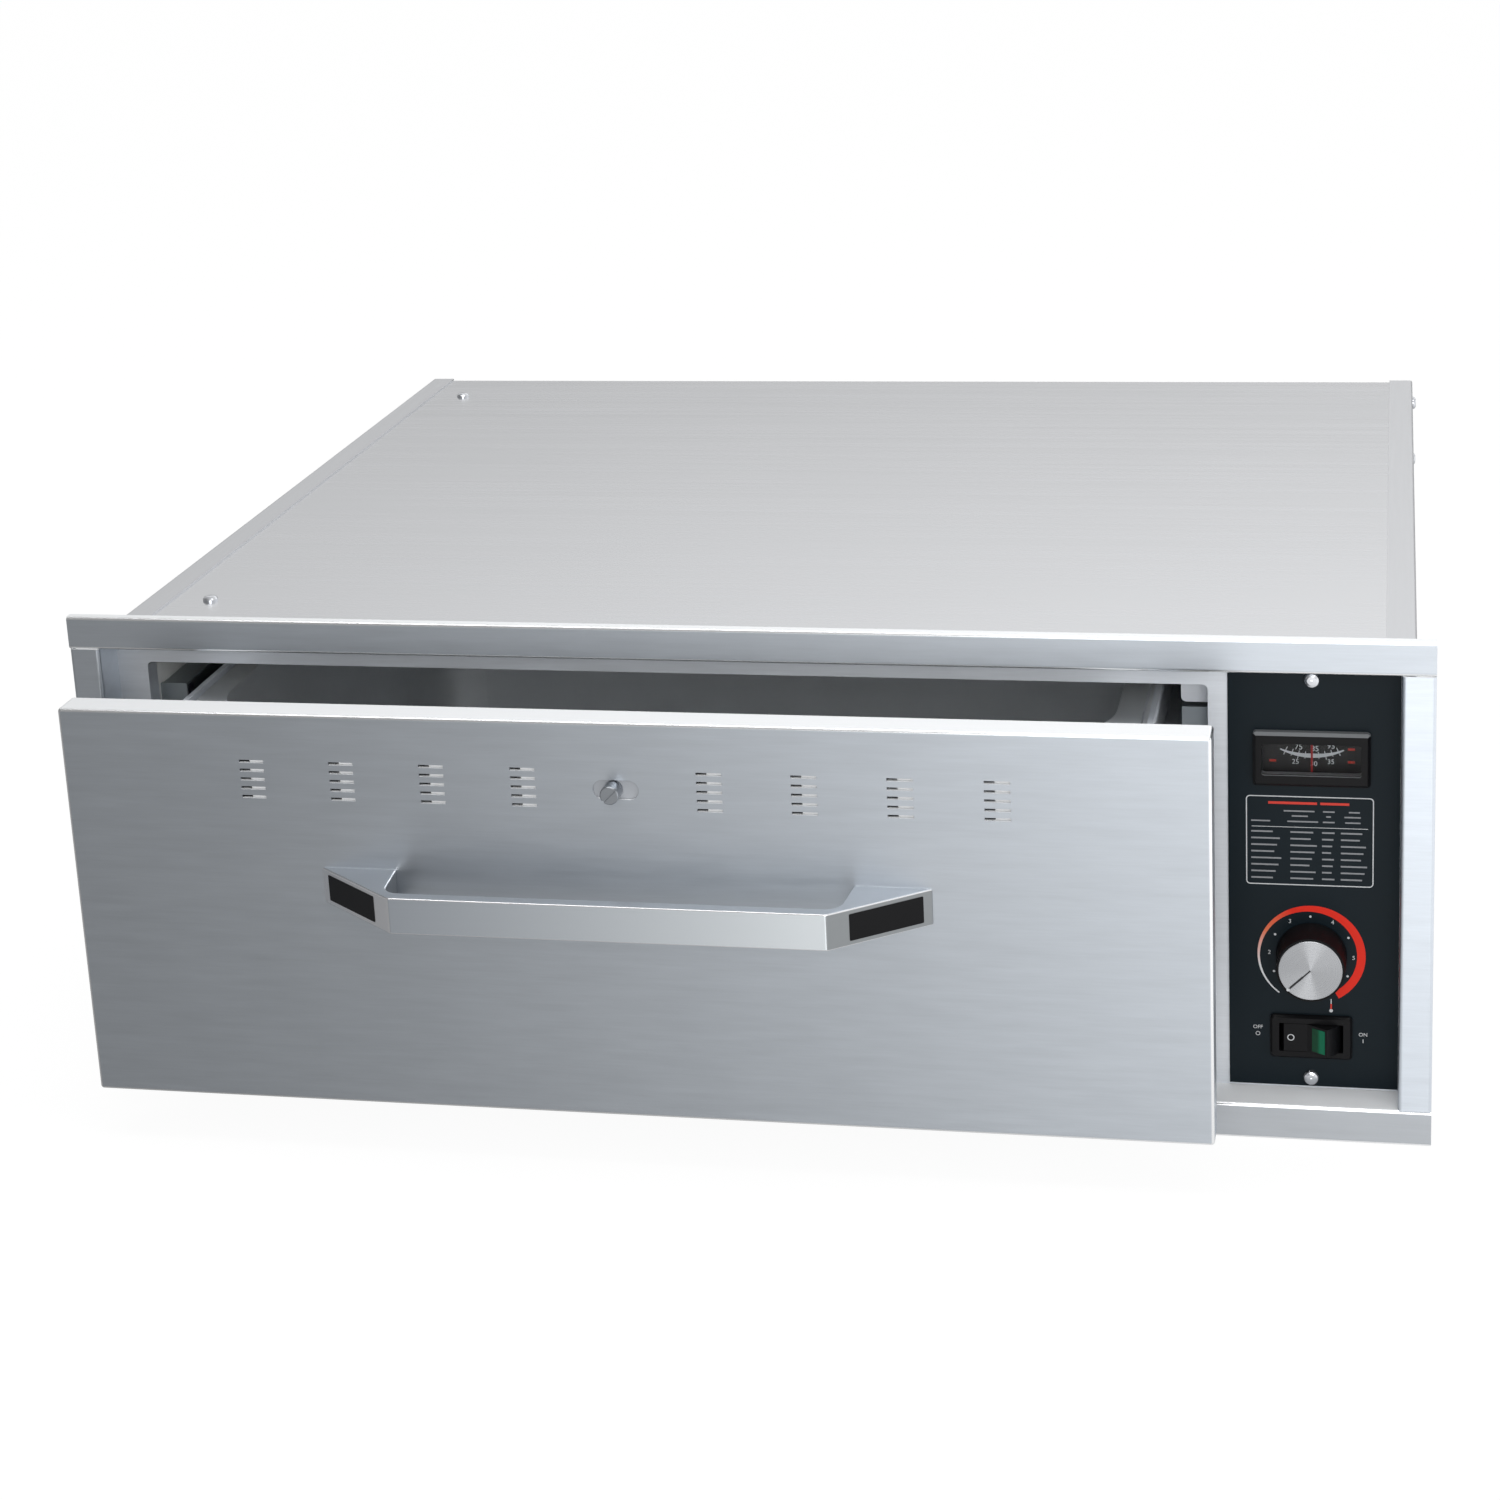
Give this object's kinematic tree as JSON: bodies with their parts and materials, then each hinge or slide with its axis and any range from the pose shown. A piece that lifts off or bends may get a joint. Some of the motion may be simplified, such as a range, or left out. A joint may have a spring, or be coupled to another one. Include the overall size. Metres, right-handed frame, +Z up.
{
  "type": "warming drawer",
  "caption": "Built-in warming drawer: a steel cabinet behind a flanged trim frame, a vented drawer with a food pan on roller runners, and a side control panel.",
  "frame": {"origin": "middle of the base under the whole drawer as drawn, from the handle's front to the bushing's back", "axes": "+X to the viewer's right, +Y from the front to the back, +Z up"},
  "size_m": [0.749, 0.687, 0.284],
  "materials": {
    "brushed_stainless": "horizontal brushed grain, satin",
    "cabinet_steel": "fine brushed grain, satin",
    "handle_steel": "brushed along its length",
    "liner_steel": "mill finish",
    "pan_steel": "drawn, satin",
    "zinc_steel": "zinc plated",
    "screw_steel": "plated, bright",
    "dark_panel": "satin",
    "dial_black": "matt",
    "red_paint": "satin",
    "black_plastic": "moulded, satin",
    "white_nylon": "moulded",
    "mineral_wool": "felted fibre",
    "element_sheath": "oxidised",
    "copper_alloy": "drawn",
    "spun_aluminium": "spun face",
    "clear_lens": "clear",
    "green_lens": "translucent"
  },
  "bodies": {
    "cabinet": {"trim_top_rail": "brushed_stainless", "trim_bottom_rail": "brushed_stainless", "trim_left_stile": "brushed_stainless", "trim_right_stile": "brushed_stainless", "face_panel": "brushed_stainless", "left_side_panel": "cabinet_steel", "right_side_panel": "cabinet_steel", "top_panel": "cabinet_steel", "bottom_panel": "cabinet_steel", "rear_panel": "cabinet_steel", "cord_bushing": "black_plastic", "cabinet_screws": "screw_steel", "cavity_liner": "liner_steel", "liner_hanger": "zinc_steel", "partition": "zinc_steel", "insulation_top": "mineral_wool", "insulation_bottom": "mineral_wool", "insulation_rear": "mineral_wool", "insulation_right": "mineral_wool", "heating_element": "element_sheath", "element_supports": "liner_steel", "thermostat_bulb": "copper_alloy", "thermometer_bulb": "copper_alloy", "bulb_guard": "liner_steel", "cabinet_track_left": "zinc_steel", "cabinet_track_right": "zinc_steel", "track_rivets": "screw_steel", "front_roller_pins": "screw_steel", "control_panel": "dark_panel", "thermometer_bezel": "black_plastic", "thermometer_lens": "clear_lens", "thermometer_case": "black_plastic", "thermometer_dial": "dial_black", "thermostat_body": "black_plastic", "thermostat_nut": "screw_steel", "switch_body": "black_plastic"},
    "drawer": {"drawer_runner_left": "zinc_steel", "drawer_runner_right": "zinc_steel", "rear_roller_pins": "screw_steel", "pan_frame": "liner_steel", "food_pan": "pan_steel", "drawer_front": "brushed_stainless", "drawer_front_back": "liner_steel", "drawer_screws": "screw_steel", "damper_guides": "zinc_steel", "handle": "handle_steel", "handle_inserts": "black_plastic"},
    "damper": {"damper_plate": "liner_steel", "damper_knob": "screw_steel", "damper_nut": "screw_steel"},
    "front_roller_left_body": {"front_roller_left": "white_nylon"},
    "front_roller_right_body": {"front_roller_right": "white_nylon"},
    "rear_roller_left_body": {"rear_roller_left": "white_nylon"},
    "rear_roller_right_body": {"rear_roller_right": "white_nylon"},
    "thermostat_knob": {"thermostat_spindle": "screw_steel", "knob_body": "black_plastic", "knob_cap": "spun_aluminium"},
    "thermometer_needle": {"thermometer_pointer": "red_paint"},
    "power_rocker": {"switch_rocker": "black_plastic", "switch_lens": "green_lens"}
  },
  "joints": [
    {"name": "drawer_slide", "type": "slide", "parent": "cabinet", "child": "drawer", "axis": [0, -1, 0], "range_m": [-0.0735, 0.318]},
    {"name": "front_roller_left_turn", "type": "hinge", "parent": "cabinet", "child": "front_roller_left_body", "pos_m": [-0.31835, -0.1785, 0.1867], "axis": [1, 0, 0], "range_deg": [-390, 1665]},
    {"name": "front_roller_right_turn", "type": "hinge", "parent": "cabinet", "child": "front_roller_right_body", "pos_m": [0.23575, -0.1785, 0.1867], "axis": [1, 0, 0], "range_deg": [-390, 1665]},
    {"name": "rear_roller_left_turn", "type": "hinge", "parent": "drawer", "child": "rear_roller_left_body", "pos_m": [-0.3318, 0.1375, 0.217], "axis": [1, 0, 0], "range_deg": [-330, 1400]},
    {"name": "rear_roller_right_turn", "type": "hinge", "parent": "drawer", "child": "rear_roller_right_body", "pos_m": [0.2492, 0.1375, 0.217], "axis": [1, 0, 0], "range_deg": [-330, 1400]},
    {"name": "damper_slide", "type": "slide", "parent": "drawer", "child": "damper", "axis": [1, 0, 0], "range_m": [-0.00544, 0.00816]},
    {"name": "thermostat_turn", "type": "hinge", "parent": "cabinet", "child": "thermostat_knob", "pos_m": [0.31085, -0.2365, 0.099], "axis": [0, 1, 0], "range_deg": [0, 284]},
    {"name": "thermometer_turn", "type": "hinge", "parent": "cabinet", "child": "thermometer_needle", "pos_m": [0.31085, -0.2111, 0.2443], "axis": [0, 1, 0], "range_deg": [-27, 27]},
    {"name": "power_rock", "type": "hinge", "parent": "cabinet", "child": "power_rocker", "pos_m": [0.31085, -0.2106, 0.0517], "axis": [0, 0, 1], "range_deg": [0, 31]}
  ],
  "couplings": [
    {"joint": "front_roller_left_turn", "follows": "drawer_slide", "rad_per_m": 90.909},
    {"joint": "front_roller_right_turn", "follows": "drawer_slide", "rad_per_m": 90.909},
    {"joint": "rear_roller_left_turn", "follows": "drawer_slide", "rad_per_m": 76.336},
    {"joint": "rear_roller_right_turn", "follows": "drawer_slide", "rad_per_m": 76.336}
  ]
}
